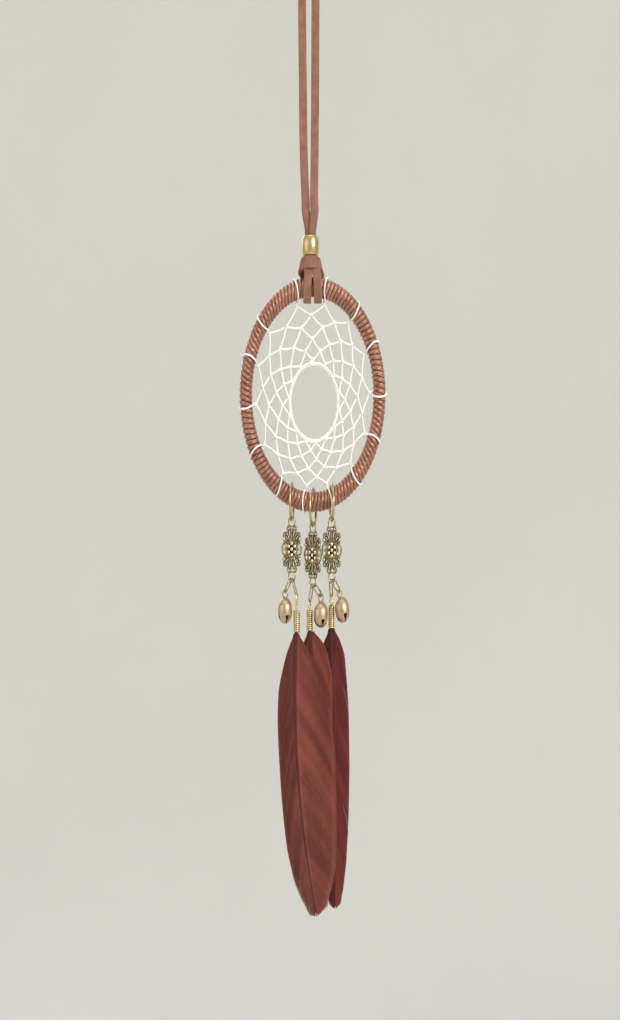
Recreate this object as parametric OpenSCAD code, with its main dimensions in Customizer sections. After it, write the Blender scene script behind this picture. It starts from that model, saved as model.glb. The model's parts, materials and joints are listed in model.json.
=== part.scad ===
// Dream catcher on a suede lace: a wrapped hoop with a thread web, and three pendants,
// each of a jump ring, a filigree connector, a jingle bell and a feather.
// Millimetres, +Z up, -Y is the front. The origin is the point that the lace hangs from,
// between its two strands and just under its top knot.

/* [Hoop] */
// Outer diameter of the wrapped hoop
hoop_od = 55; // [54:0.5:57]
// Thickness of the hoop with its wrapping cord
tube_d = 4.9; // [4.6:0.1:5]
// Thickness of the bare metal ring inside the wrapping
core_d = 2.6; // [2:0.1:3]

/* [Web] */
// Thickness of the web thread
thread_d = 0.5; // [0.4:0.05:0.6]
// Radius of the open hole at the middle of the web
web_hole_r = 8.6; // [7:0.2:9]

/* [Lace] */
// Width of the suede lace
lace_w = 3; // [2.8:0.1:3]
// Thickness of the suede lace
lace_t = 1.35; // [1.1:0.05:1.35]

/* [Bead] */
// Diameter of the barrel bead at its middle
bead_d = 6.4; // [6:0.1:7]
// Height of the bead
bead_h = 4.8; // [4.4:0.1:4.8]
// Diameter of the hole that the lace goes through
bead_bore = 4.6; // [4.4:0.1:4.7]

/* [Rings] */
// Outer diameter of the jump rings round the hoop
ring_od = 9.4; // [9.2:0.1:9.8]
// Wire of the jump rings
ring_wire = 0.9; // [0.7:0.05:0.9]
// Outer diameter of the small ring that a bell hangs on
bell_ring_od = 4.4; // [4.2:0.1:4.6]
// Length of the oval link that a feather hangs on
link_len = 4.8; // [4.6:0.1:5]
// Width of the oval link
link_w = 2.7; // [2.5:0.05:2.8]
// Wire of the small rings and links
small_wire = 0.5; // [0.45:0.01:0.54]

/* [Connectors] */
// Distance between the middles of a connector's two eyes
eye_pitch = 12.8; // [12.4:0.1:13]
// Width of a connector
connector_w = 7.2; // [6.8:0.1:7.4]
// Thickness of a connector's wires
connector_t = 0.8; // [0.6:0.05:0.9]

/* [Bells] */
// Diameter of a bell
bell_d = 5.3; // [5:0.1:5.3]
// Height of a bell without its loop
bell_h = 6.2; // [6:0.1:6.4]
// Wall of a bell
bell_wall = 0.35; // [0.3:0.05:0.4]

/* [Feathers] */
// Outer diameter of the spring coil that grips the quill
coil_d = 2.6; // [2.4:0.1:2.6]
// Length of the coil
coil_len = 5.6; // [5.2:0.1:5.8]
// Thickness of a feather's vane
vane_t = 0.4; // [0.3:0.05:0.5]

/* [Hidden] */
$fn = 48;

// Where the middle of the hoop hangs
hoop_at = [1.2, 0, -96];
tube_r = tube_d / 2;
hoop_r = hoop_od / 2 - tube_r;
hoop_top_z = hoop_at.z + hoop_r;
clearance = 0.1;

// Lace. Each row of the route is [height, middle of the two strands, how far they are turned
// about the vertical, their distance apart along their width, and across their thickness].
LACE_ROUTE = [
    [1.6, -0.2, 0, 3.4, 0],
    [0, -0.2, 0, 4.6, 0],
    [-4, -0.2, 0, 5, 0],
    [-12, -0.2, 0, 4.9, 0],
    [-20, -0.15, 0, 4.7, 0],
    [-28, -0.1, 0, 4.5, 0],
    [-37, -0.1, 0, 4.2, 0],
    [-44, 0, 0, 3.8, 0],
    [-48, 0.1, 2, 3.4, 0.2],
    [-51, 0.2, 5, 3.15, 0.9],
    [-53, 0.3, 12, 3.1, 1.4],
    [-55, 0.35, 22, 2.2, 1.42],
    [-57, 0.4, 34, 1, 1.42],
    [-59, 0.4, 42, 0.3, 1.42],
    [-62, 0.45, 45, 0, 1.42],
    [-64.3, 0.5, 45, 0, 1.42]
];
// Half width and half thickness fractions of the lace's eight-cornered section
LACE_SECTION = [[1, 0.5], [0.8, 1], [-0.8, 1], [-1, 0.5], [-1, -0.5], [-0.8, -1], [0.8, -1], [1, -0.5]];
lace_end_z = LACE_ROUTE[len(LACE_ROUTE) - 1][0];
knot_d = 7.6;
knot_h = 6;
knot_tail = 9;

// Bead
bead_x = 0.4;
bead_z = -61.5;
bead_end_d = 5.5;

// Lark's head hitch round the top of the hoop
hitch_gap = 0.4;
hitch_strap_t = 1.25;
hitch_strap_w = 2.7;
hitch_strap_x = 1.9;
hitch_collar_h = 2.8;
hitch_collar_z = lace_end_z - 0.1;

// Web. The angles at which the thread is hitched round the hoop, seen from the front and
// counted from the right, and the radius of each row of its mesh, from the hoop inwards.
WEB_ANGLES = [105.5, 78, 51.5, 26, 1, -24.5, -48.5, -75.5, -96, -121, -147, -174, -198.5, -222];
WEB_ROWS = [21.5, 19, 16.8, 14.1, 11.8, 9.9];
web_hole_shift = [0.6, -1.8];
web_count = len(WEB_ANGLES);

// Rings, links and eyes
ring_r = (ring_od - ring_wire) / 2;
ring_hole_r = ring_r - ring_wire / 2;
small_r = small_wire / 2;
bell_ring_r = bell_ring_od / 2 - small_r;
link_reach = link_len - small_wire;
eye_hole_r = 0.95;
eye_wire = 0.5;
eye_r = eye_hole_r + eye_wire / 2;
// Where the two small rings sit in an eye: half their distance apart, and their height above
// the middle of its lower wire
eye_spread = 0.36;
eye_lift = 0.75;

// Bell parts
bell_loop_r = 0.95;
bell_loop_wire = 0.5;
bell_drop = 1.7 + bell_h / 2;
pellet_r = 0.85;

// Feather parts
coil_wire = 0.5;
coil_turns = 11;
coil_bore_r = 0.8;
coil_loop_wire = 0.5;
coil_loop_w = 2.2;
shaft_r = 0.7;
shaft_tip_r = 0.2;

// Pendants: [place along X from the middle of the hoop, turn of the jump ring, turn of the
// connector, turn of the small rings, [x, y] of the bell, its tilt, [x, y] of the coil,
// height of the coil's loop, side of the bell], x counted from the middle of the hoop
LEFT = 0;
MIDDLE = 1;
RIGHT = 2;
PENDANTS = [
    [-7.8, -8, 0, -16, [-10.3, 0.2], 0, [-5.95, -0.85], 4.2, -1],
    [0.2, -15, -30, -26, [3.05, -1.3], 0, [-1.1, 0.4], 2.4, 1],
    [7.2, 8, 0, 26, [10.1, 0], -14, [7.05, 1.5], 2.9, 1]
];
function ring_x(p) = PENDANTS[p][0];
function ring_turn(p) = PENDANTS[p][1];
function connector_turn(p) = PENDANTS[p][2];
function link_turn(p) = PENDANTS[p][3];
function bell_xy(p) = PENDANTS[p][4];
function bell_tilt(p) = PENDANTS[p][5];
function coil_xy(p) = PENDANTS[p][6];
function coil_loop_h(p) = PENDANTS[p][7];
function bell_side(p) = PENDANTS[p][8];

// Height of the middle of the hoop's tube below the pendant, and how far the tube's section
// there is stretched by its slope
function tube_z(p) = -sqrt(hoop_r * hoop_r - ring_x(p) * ring_x(p));
function tube_half(p) = tube_r * hoop_r / -tube_z(p);
function ring_z(p) = tube_z(p) - (ring_hole_r - tube_half(p) - clearance);
function ring_foot_z(p) = ring_z(p) - ring_r;
function top_eye_z(p) = ring_foot_z(p) + ring_wire / 2 - eye_hole_r + 0.06;
function low_eye_z(p) = top_eye_z(p) - eye_pitch;
// The middle of the lower wire of the lower eye, which both small rings hang on
function eye_foot(p) = [ring_x(p), 0, low_eye_z(p) - eye_r];
// The topmost point of a small ring's own wire, side -1 or 1 of the eye
function ring_top(p, side) = eye_foot(p)
    + [side * eye_spread * cos(connector_turn(p)), side * eye_spread * sin(connector_turn(p)), eye_lift];
// The lowest point of a small ring's wire, reach below its top, above the place xy
function hang(top, xy, reach) = [
    xy.x, xy.y, top.z - sqrt(reach * reach - pow(xy.x - top.x, 2) - pow(xy.y - top.y, 2))
];
function bell_hook(p) = hang(ring_top(p, bell_side(p)), bell_xy(p), 2 * bell_ring_r);
function coil_hook(p) = hang(ring_top(p, -bell_side(p)), coil_xy(p), link_reach);
hook_lift = small_r + 0.25 + 0.08;
function coil_top_z(p) = coil_hook(p).z + hook_lift + coil_loop_wire / 2 - coil_loop_h(p) + 0.2;
function coil_foot_z(p) = coil_top_z(p) - coil_len;

// Feathers: [x of the shaft's bend, its height, x of the tip, its height], and the stations
// along the shaft as [part of its length, width to the left, width to the right]
FEATHER_LINES = [[-9, -88, 1.7, -121.4], [1.5, -82, 3.2, -116], [8.4, -86, 8.4, -120.1]];
FEATHER_STATIONS = [
    [
        [0.01, 1, 1.4], [0.05, 2.4, 4.2], [0.1, 4, 7.2], [0.2, 6.2, 11.4], [0.3, 6.7, 13.9],
        [0.45, 6.7, 14.4], [0.6, 6.9, 13.6], [0.75, 6.9, 12], [0.86, 6, 10], [0.93, 4.4, 7.4],
        [0.975, 2.4, 4]
    ],
    [
        [0.01, 1.2, 1.4], [0.05, 3, 4.6], [0.1, 5, 6.2], [0.2, 8, 7.4], [0.3, 9.6, 7],
        [0.5, 10, 6], [0.7, 9, 5.2], [0.85, 6.6, 4.2], [0.95, 3, 2.2]
    ],
    [
        [0.01, 1.4, 1.2], [0.05, 2.8, 3.4], [0.1, 5, 4.8], [0.2, 8, 5.4], [0.3, 9.4, 5.9],
        [0.5, 10, 5.9], [0.7, 8.6, 5.3], [0.85, 6.4, 4.3], [0.95, 2.8, 3]
    ]
];
shaft_steps = 16;
// A point of a feather's shaft, t from 0 inside the coil to 1 at the tip, on one smooth bend
function shaft_at(p, t) = let (
    base = [coil_xy(p).x, coil_foot_z(p) + 3],
    bend = [FEATHER_LINES[p][0], FEATHER_LINES[p][1]],
    tip = [FEATHER_LINES[p][2], FEATHER_LINES[p][3]],
    at = pow(1 - t, 2) * base + 2 * t * (1 - t) * bend + t * t * tip
) [at.x, coil_xy(p).y, at.y];

// Sweeps a closed section, given as a list of rings of points, into one solid
module loft(rings) {
    sides = len(rings[0]);
    last = len(rings) - 1;
    points = [for (ring = rings) each ring];
    walls = [for (i = [0:last - 1], j = [0:sides - 1])
        [i * sides + j, i * sides + (j + 1) % sides, (i + 1) * sides + (j + 1) % sides, (i + 1) * sides + j]];
    start = [[for (j = [sides - 1:-1:0]) j]];
    end = [[for (j = [0:sides - 1]) last * sides + j]];
    polyhedron(points, concat(start, walls, end), convexity = 6);
}

// A ring of round wire whose hole points along Y
module wire_ring(mean_r, wire) {
    rotate([90, 0, 0]) rotate_extrude() translate([mean_r, 0]) circle(d = wire, $fn = 24);
}

// An oval link of round wire in the XZ plane, its top wire's middle at the origin
module oval_link(reach, width, wire) {
    bend_r = (width - wire) / 2;
    straight = reach - 2 * bend_r;
    translate([0, 0, -bend_r]) rotate([90, 0, 0])
        rotate_extrude(angle = 180) translate([bend_r, 0]) circle(d = wire, $fn = 24);
    translate([0, 0, -bend_r - straight]) rotate([-90, 0, 0])
        rotate_extrude(angle = 180) translate([bend_r, 0]) circle(d = wire, $fn = 24);
    for (side = [-1, 1])
        translate([side * bend_r, 0, -bend_r - straight]) cylinder(h = straight, d = wire, $fn = 24);
}

// Places a ring made in the XZ plane, hanging from its top, so that it hangs from one point
// to another, its flat side turned about that line
module hang_from(top, foot, turn) {
    down = (foot - top) / norm(foot - top);
    wanted = [sin(-turn), cos(-turn), 0];
    along = wanted - (wanted * down) * down;
    side = along / norm(along);
    face = cross(side, -down);
    multmatrix([
        [side.x, face.x, -down.x, top.x],
        [side.y, face.y, -down.y, top.y],
        [side.z, face.z, -down.z, top.z],
        [0, 0, 0, 1]
    ]) children();
}

// --- The lace ---
function lace_ring(row, side) = let (
    turn = row[2],
    along = [cos(turn), sin(turn)],
    across = [sin(turn), -cos(turn)],
    middle = [row[1], 0] + side / 2 * (row[3] * along + row[4] * across)
) [for (corner = LACE_SECTION) let (
    at = middle + corner.x * lace_w / 2 * along + corner.y * lace_t / 2 * across
) [at.x, at.y, row[0]]];

module lace_strand(side) {
    color("rosybrown") loft([for (row = LACE_ROUTE) lace_ring(row, side)]);
}
module lace_left() {
    lace_strand(-1);
}
module lace_right() {
    lace_strand(1);
}

// The overhand knot that joins the two strands, with two short tails
module lace_knot() {
    color("rosybrown") translate([-0.2, 0, LACE_ROUTE[0][0]]) {
        rotate_extrude() {
            square([knot_d / 2 - 1.5, knot_h]);
            translate([0, 1.5]) square([knot_d / 2, knot_h - 3]);
            for (z = [1.5, knot_h - 1.5]) translate([knot_d / 2 - 1.5, z]) circle(r = 1.5);
        }
        for (side = [-1, 1])
            translate([side * 1.6, 0, knot_h - 0.5]) rotate([0, side * 14, 0])
                translate([-lace_w / 2, -lace_t / 2, 0]) cube([lace_w, lace_t, knot_tail]);
    }
}

// The lark's head: two straps round the hoop, and the collar that they make above it
module lace_hitch() {
    strap_in = tube_r + hitch_gap;
    color("rosybrown") {
        for (side = [-1, 1])
            translate([hoop_at.x + side * hitch_strap_x, 0, hoop_top_z]) rotate([0, 90, 0])
                rotate_extrude() translate([strap_in, -hitch_strap_w / 2])
                    square([hitch_strap_t, hitch_strap_w]);
        translate([0.8, 0, hitch_collar_z - hitch_collar_h])
            cylinder(h = hitch_collar_h, r1 = 3.7, r2 = 2.5);
    }
}

module lace_bead() {
    bulge = (bead_d - bead_end_d) / 2;
    arc_r = (pow(bead_h / 2, 2) + bulge * bulge) / (2 * bulge);
    color("goldenrod") translate([bead_x, 0, bead_z]) difference() {
        rotate_extrude() intersection() {
            translate([0, -bead_h / 2]) square([bead_d, bead_h]);
            translate([bead_d / 2 - arc_r, 0]) circle(r = arc_r, $fn = 180);
        }
        cylinder(h = bead_h + 2, d = bead_bore, center = true);
    }
}

// --- The hoop and its web ---
module hoop_core() {
    color("gray") translate(hoop_at) wire_ring(hoop_r, core_d);
}

module hoop_wrap() {
    color("sienna") translate(hoop_at) rotate([90, 0, 0]) rotate_extrude() translate([hoop_r, 0])
        difference() {
            circle(r = tube_r);
            circle(d = core_d + 0.04);
        }
}

// Web points: even rows lie at the hitches' own angles, odd rows halfway to the next one
function web_angle(row, i) = let (
    here = WEB_ANGLES[i % web_count] - 360 * floor(i / web_count),
    next = WEB_ANGLES[(i + 1) % web_count] - 360 * floor((i + 1) / web_count)
) row % 2 == 0 ? here : (here + next) / 2;
function web_inward(row) = (WEB_ROWS[0] - WEB_ROWS[row]) / (WEB_ROWS[0] - web_hole_r);
function web_point(row, i) = WEB_ROWS[row] * [cos(web_angle(row, i)), sin(web_angle(row, i))]
    + web_inward(row) * web_hole_shift;
web_last = len(WEB_ROWS) - 1;

module thread(a, b) {
    along = b - a;
    translate(a) rotate(atan2(along.y, along.x)) translate([0, -thread_d / 2])
        square([norm(along), thread_d]);
    translate(b) circle(d = thread_d * 1.3, $fn = 8);
}

module web() {
    color("ivory") translate(hoop_at + [0, thread_d / 2, 0]) rotate([90, 0, 0])
        linear_extrude(thread_d) offset(delta = 0.01) union() {
            for (i = [0:web_count - 1]) {
                outward = [cos(WEB_ANGLES[i]), sin(WEB_ANGLES[i])];
                thread((hoop_r - tube_r - 0.4) * outward, web_point(0, i));
                for (row = [1:web_last], side = [0, 1])
                    thread(web_point(row - 1, i + side), web_point(row, i + 1 - row % 2));
            }
            translate(web_hole_shift) difference() {
                circle(r = WEB_ROWS[web_last] + thread_d / 2 - 0.1, $fn = 56);
                circle(r = web_hole_r, $fn = 56);
            }
        }
}

// One turn of thread round the hoop at each hitch
module web_hitches() {
    color("ivory") translate(hoop_at) for (angle = WEB_ANGLES)
        rotate([0, -angle, 0]) translate([hoop_r, 0, 0])
            rotate_extrude() translate([tube_r + thread_d / 2 + 0.06, 0]) circle(d = thread_d, $fn = 16);
}

// --- The pendants ---
module jump_ring(p) {
    color("darkgoldenrod") translate(hoop_at + [ring_x(p), 0, ring_z(p)])
        rotate([0, 0, 90 + ring_turn(p)]) wire_ring(ring_r, ring_wire);
}

// A filigree loop: an upright oval, tilted about its lower end
module filigree_loop(long, wide, wire) {
    difference() {
        scale([wide / 2, long / 2]) circle(r = 1, $fn = 28);
        scale([wide / 2 - wire, long / 2 - wire]) circle(r = 1, $fn = 28);
    }
}

module connector_outline() {
    wire = 0.5;
    for (top = [0, 1], side = [0, 1]) mirror([side, 0]) mirror([0, top]) {
        translate([0, 1.6]) rotate(-22) translate([0.15, 2.1]) filigree_loop(4.2, 2.3, wire);
        translate([3.1, 2.3]) circle(d = 0.9, $fn = 16);
        translate([1.2, 1.2]) rotate(-60) translate([-0.3, 0]) square([0.6, 2.2]);
    }
    for (side = [-1, 1])
        translate([side * (connector_w / 2 - 0.95), 0]) filigree_loop(3.4, 1.9, wire);
    difference() {
        circle(r = 2.3, $fn = 36);
        for (i = [0:5]) rotate(60 * i) translate([1.9, 0]) circle(d = 0.5, $fn = 12);
    }
}

module connector(p) {
    color("darkkhaki") translate(hoop_at + [ring_x(p), 0, (top_eye_z(p) + low_eye_z(p)) / 2])
        rotate([0, 0, connector_turn(p)]) {
            translate([0, connector_t / 2, 0]) rotate([90, 0, 0])
                linear_extrude(connector_t) offset(delta = 0.01) connector_outline();
            for (end = [-1, 1]) translate([0, 0, end * eye_pitch / 2]) wire_ring(eye_r, eye_wire);
            translate([0, -connector_t / 2, 0]) {
                sphere(r = 0.55, $fn = 20);
                for (i = [0:5]) rotate([0, 60 * i + 30, 0]) translate([1.35, 0, 0]) sphere(r = 0.48, $fn = 20);
            }
        }
}

module bell_ring(p) {
    color("goldenrod") translate(hoop_at)
        hang_from(ring_top(p, bell_side(p)), bell_hook(p), link_turn(p))
            translate([0, 0, -bell_ring_r]) wire_ring(bell_ring_r, small_wire);
}

// Stands a bell's parts under the top of its loop, tilted with the bell
module at_bell(p) {
    translate(hoop_at + bell_hook(p)) rotate([0, bell_tilt(p), 0]) translate([0, 0, hook_lift])
        children();
}

module bell_body(r) {
    band = bell_h - bell_d;
    for (z = [-band / 2, band / 2]) translate([0, 0, z]) sphere(r = r);
    cylinder(h = band, r = r, center = true);
}

module bell(p) {
    slot_w = 0.45;
    hole_z = -1.4;
    color("burlywood") at_bell(p) {
        translate([0, 0, -bell_loop_r]) rotate([0, 0, link_turn(p)])
            wire_ring(bell_loop_r, bell_loop_wire);
        translate([0, 0, -bell_drop]) difference() {
            bell_body(bell_d / 2);
            bell_body(bell_d / 2 - bell_wall);
            for (turn = [20, 110]) rotate([0, 0, turn]) {
                translate([-bell_d, -slot_w / 2, -bell_h]) cube([2 * bell_d, slot_w, bell_h + hole_z]);
                translate([0, 0, hole_z]) rotate([0, 90, 0])
                    cylinder(h = 2 * bell_d, r = 0.65, center = true, $fn = 24);
            }
        }
    }
}

module bell_pellet(p) {
    floor_z = -(bell_h / 2 - bell_wall);
    color("dimgray") at_bell(p) translate([0, 0, -bell_drop + floor_z + pellet_r + 0.05])
        sphere(r = pellet_r);
}

module feather_link(p) {
    color("goldenrod") translate(hoop_at)
        hang_from(ring_top(p, -bell_side(p)), coil_hook(p), link_turn(p))
            oval_link(link_reach, link_w, small_wire);
}

// The spring coil crimped on the quill, with the loop bent up from its last turn
module feather_coil(p) {
    pitch = coil_len / coil_turns;
    loop_reach = coil_loop_h(p) - coil_loop_wire;
    color("gold") {
        translate(hoop_at + [coil_xy(p).x, coil_xy(p).y, coil_foot_z(p)]) rotate_extrude() {
            translate([coil_bore_r, 0]) square([coil_d / 2 - coil_wire / 2 - coil_bore_r, coil_len]);
            for (i = [0:coil_turns - 1])
                translate([coil_d / 2 - coil_wire / 2, (i + 0.5) * pitch]) circle(d = coil_wire, $fn = 16);
        }
        translate(hoop_at + [coil_xy(p).x, coil_xy(p).y, coil_top_z(p) - 0.4]) cylinder(h = 0.4, r = coil_bore_r + 0.1);
        translate(hoop_at + coil_hook(p) + [0, 0, hook_lift]) rotate([0, 0, link_turn(p)])
            oval_link(loop_reach, coil_loop_w, coil_loop_wire);
    }
}

function shaft_ring(p, t, r) = let (
    at = shaft_at(p, t),
    ahead = shaft_at(p, min(t + 0.02, 1)) - shaft_at(p, max(t - 0.02, 0)),
    side = [-ahead.z, 0, ahead.x] / norm(ahead)
) [for (i = [0:7]) hoop_at + at + r * (cos(45 * i) * side + sin(45 * i) * [0, -1, 0])];

module feather_shaft(p) {
    color("saddlebrown") loft([for (i = [0:shaft_steps])
        shaft_ring(p, i / shaft_steps, shaft_r + (shaft_tip_r - shaft_r) * i / shaft_steps)]);
}

// A vane's edge point: across the shaft from one of its stations
function vane_edge(p, station, side) = let (
    from = coil_start(p),
    t = from + (1 - from) * station[0],
    at = shaft_at(p, t),
    ahead = shaft_at(p, min(t + 0.02, 1)) - shaft_at(p, t - 0.02),
    across = [-ahead.z, ahead.x] / norm(ahead),
    width = side < 0 ? -station[1] : station[2]
) [at.x, at.z] + width * across;
// The part of the shaft that is inside the coil
function coil_start(p) = 3.2 / norm(shaft_at(p, 1) - shaft_at(p, 0));

module feather_vane(p) {
    stations = FEATHER_STATIONS[p];
    count = len(stations);
    tip = shaft_at(p, 1);
    outline = concat(
        [for (i = [0:count - 1]) vane_edge(p, stations[i], 1)],
        [[tip.x, tip.z]],
        [for (i = [count - 1:-1:0]) vane_edge(p, stations[i], -1)]
    );
    color("brown") translate(hoop_at + [0, coil_xy(p).y + vane_t / 2, 0]) rotate([90, 0, 0])
        linear_extrude(vane_t) polygon(outline);
}

lace_left();
lace_right();
lace_knot();
lace_hitch();
lace_bead();
hoop_core();
hoop_wrap();
web();
web_hitches();
jump_ring(LEFT);  // jump_ring_left
jump_ring(MIDDLE);  // jump_ring_middle
jump_ring(RIGHT);  // jump_ring_right
connector(LEFT);  // connector_left
connector(MIDDLE);  // connector_middle
connector(RIGHT);  // connector_right
bell_ring(LEFT);  // bell_ring_left
bell_ring(MIDDLE);  // bell_ring_middle
bell_ring(RIGHT);  // bell_ring_right
bell(LEFT);  // bell_left
bell(MIDDLE);  // bell_middle
bell(RIGHT);  // bell_right
bell_pellet(LEFT);  // bell_pellet_left
bell_pellet(MIDDLE);  // bell_pellet_middle
bell_pellet(RIGHT);  // bell_pellet_right
feather_link(LEFT);  // feather_link_left
feather_link(MIDDLE);  // feather_link_middle
feather_link(RIGHT);  // feather_link_right
feather_coil(LEFT);  // feather_coil_left
feather_coil(MIDDLE);  // feather_coil_middle
feather_coil(RIGHT);  // feather_coil_right
feather_shaft(LEFT);  // feather_shaft_left
feather_shaft(MIDDLE);  // feather_shaft_middle
feather_shaft(RIGHT);  // feather_shaft_right
feather_vane(LEFT);  // feather_vane_left
feather_vane(MIDDLE);  // feather_vane_middle
feather_vane(RIGHT);  // feather_vane_right
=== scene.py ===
"""Looks of a dream catcher on a suede lace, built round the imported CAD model, in metres.

The part's frame: +Z up, -Y is the front, and the origin is the point that the lace hangs from.
Sizes that the CAD source sets in millimetres are written here as NUMBER * MM.
"""

import json
import math

import bpy
import numpy as np
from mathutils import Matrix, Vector


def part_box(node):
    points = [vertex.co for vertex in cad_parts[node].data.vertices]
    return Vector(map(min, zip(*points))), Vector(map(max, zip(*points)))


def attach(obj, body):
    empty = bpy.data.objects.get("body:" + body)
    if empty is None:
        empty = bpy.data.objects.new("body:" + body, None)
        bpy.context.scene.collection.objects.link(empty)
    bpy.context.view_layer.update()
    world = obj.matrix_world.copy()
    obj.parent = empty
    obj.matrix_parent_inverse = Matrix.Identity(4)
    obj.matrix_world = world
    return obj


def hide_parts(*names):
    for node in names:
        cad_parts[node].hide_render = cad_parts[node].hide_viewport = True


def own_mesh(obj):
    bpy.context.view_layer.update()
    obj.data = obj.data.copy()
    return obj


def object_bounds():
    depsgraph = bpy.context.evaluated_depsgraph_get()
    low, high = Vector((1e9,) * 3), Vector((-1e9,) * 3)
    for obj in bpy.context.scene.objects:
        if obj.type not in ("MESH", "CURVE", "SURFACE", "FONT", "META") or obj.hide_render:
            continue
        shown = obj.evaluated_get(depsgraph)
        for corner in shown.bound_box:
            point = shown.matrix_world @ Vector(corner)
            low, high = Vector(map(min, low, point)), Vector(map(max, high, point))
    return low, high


MM = 0.001
SIDES = ("left", "middle", "right")
FRONT = np.array([0.0, -1.0, 0.0])
UP = np.array([0.0, 0.0, 1.0])
RANDOM = np.random.default_rng(11)

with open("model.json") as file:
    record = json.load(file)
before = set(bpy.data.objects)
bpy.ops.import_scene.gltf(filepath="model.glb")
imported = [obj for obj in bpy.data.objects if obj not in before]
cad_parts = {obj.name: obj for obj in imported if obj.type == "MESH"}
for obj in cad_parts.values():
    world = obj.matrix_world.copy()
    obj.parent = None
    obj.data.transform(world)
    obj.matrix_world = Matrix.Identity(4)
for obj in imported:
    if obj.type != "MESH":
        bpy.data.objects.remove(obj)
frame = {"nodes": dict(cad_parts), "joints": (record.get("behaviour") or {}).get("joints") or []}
cad_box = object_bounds()
joints = {row["name"]: row for row in frame["joints"]}


# ---- camera and stage

# The photograph is a square picture squeezed to 620 x 1020. A cylindrical panoramic camera, with a view
# as wide as it is high, does the same to the true, round object. Its view is VIEW_HEIGHT high at the
# object, about the (x, z) of VIEW_CENTRE.
VIEW_HALF_ANGLE = math.radians(14.5)
VIEW_HEIGHT = 237.7 * MM
VIEW_CENTRE = (0.24 * MM, -122.9 * MM)


def add_object(name, data):
    """A new object in the scene."""
    made = bpy.data.objects.new(name, data)
    bpy.context.scene.collection.objects.link(made)
    return made


def make_camera():
    data = bpy.data.cameras.new("camera")
    data.type = "PANO"
    data.panorama_type = "CENTRAL_CYLINDRICAL"
    data.central_cylindrical_radius = 1
    data.central_cylindrical_range_u_min = -VIEW_HALF_ANGLE
    data.central_cylindrical_range_u_max = VIEW_HALF_ANGLE
    data.central_cylindrical_range_v_min = -math.tan(VIEW_HALF_ANGLE)
    data.central_cylindrical_range_v_max = math.tan(VIEW_HALF_ANGLE)
    data.clip_start, data.clip_end = 0.01, 50
    camera = add_object("camera", data)
    distance = VIEW_HEIGHT / 2 / math.tan(VIEW_HALF_ANGLE)
    camera.location = (VIEW_CENTRE[0], -distance, VIEW_CENTRE[1])
    camera.rotation_euler = (math.radians(90), 0, 0)
    bpy.context.scene.camera = camera


make_camera()


# ---- mesh tools


def unit(vectors):
    """The vectors at length 1."""
    return vectors / np.maximum(np.linalg.norm(vectors, axis=-1, keepdims=True), 1e-12)


def full_turn(count):
    """Angles evenly round a circle."""
    return np.linspace(0, 2 * math.pi, count, endpoint=False)


def spoke(angle):
    """The direction at that angle in the hoop's plane, anticlockwise from the right, from the front."""
    return np.stack([np.cos(angle), 0 * angle, np.sin(angle)], -1)


def square_to(ahead, vectors):
    """What is left of the vectors at right angles to the unit vectors ahead."""
    return vectors - np.sum(vectors * ahead, axis=1, keepdims=True) * ahead


def bezier(start, middle, end, t):
    return (1 - t) ** 2 * start + 2 * t * (1 - t) * middle + t * t * end


def faces_between(count, corners, closed=False):
    """The faces between that many closed rings of points, and from the last to the first if closed."""
    i = np.arange(count if closed else count - 1)[:, None]
    j = np.arange(corners)
    after, beside = (i + 1) % count, (j + 1) % corners
    faces = [i * corners + j, i * corners + beside, after * corners + beside, after * corners + j]
    return np.stack(faces, -1).reshape(-1, 4)


def smooth_path(points, steps):
    """A smooth curve through the points, with that many steps from each to the next."""
    points = np.asarray(points, float)
    padded = np.vstack([2 * points[0] - points[1], points, 2 * points[-1] - points[-2]])
    t = np.linspace(0, 1, steps, endpoint=False)[:, None]
    pieces = []
    for i in range(1, len(padded) - 2):
        before, start, end, after = padded[i - 1 : i + 3]
        bend = (2 * before - 5 * start + 4 * end - after) * t**2
        turn = (3 * start - before - 3 * end + after) * t**3
        pieces.append(0.5 * (2 * start + (end - before) * t + bend + turn))
    return np.vstack([*pieces, points[-1:]])


def ahead_of(path, closed=False):
    """The direction of the path at each of its points."""
    if closed:
        return unit(np.roll(path, -1, 0) - np.roll(path, 1, 0))
    return unit(np.gradient(path, axis=0))


def upright(path, hint, closed=False):
    """(side, up) at each point: up is as near to the hint as it can be, and side x up is ahead."""
    ahead = ahead_of(path, closed)
    up = unit(square_to(ahead, hint))
    return np.cross(up, ahead), up


def untwisted(path, hint):
    """(side, up) at each point of an open path, carried along it without twist."""
    ahead = ahead_of(path)
    ups = [np.asarray(hint, float)]
    for direction in ahead:
        ups.append(unit(ups[-1] - np.dot(ups[-1], direction) * direction))
    ups = np.array(ups[1:])
    return np.cross(ups, ahead), ups


def round_section(radius, count=10):
    turn = full_turn(count)
    return radius * np.column_stack([np.cos(turn), np.sin(turn)])


def flat_section(width, thickness, rounding, across=5):
    """A rectangle with round corners, anticlockwise."""
    x, y = width / 2 - rounding, thickness / 2 - rounding
    points = []
    for corner, (sx, sy) in enumerate(((1, 1), (-1, 1), (-1, -1), (1, -1))):
        for step in range(4):
            turn = math.radians(90 * corner + 30 * step)
            points.append((sx * x + rounding * math.cos(turn), sy * y + rounding * math.sin(turn)))
        if corner % 2 == 0:
            edge = sy * thickness / 2
            points += [(sx * x * (1 - 2 * k / across), edge) for k in range(1, across)]
    return np.array(points)


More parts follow.
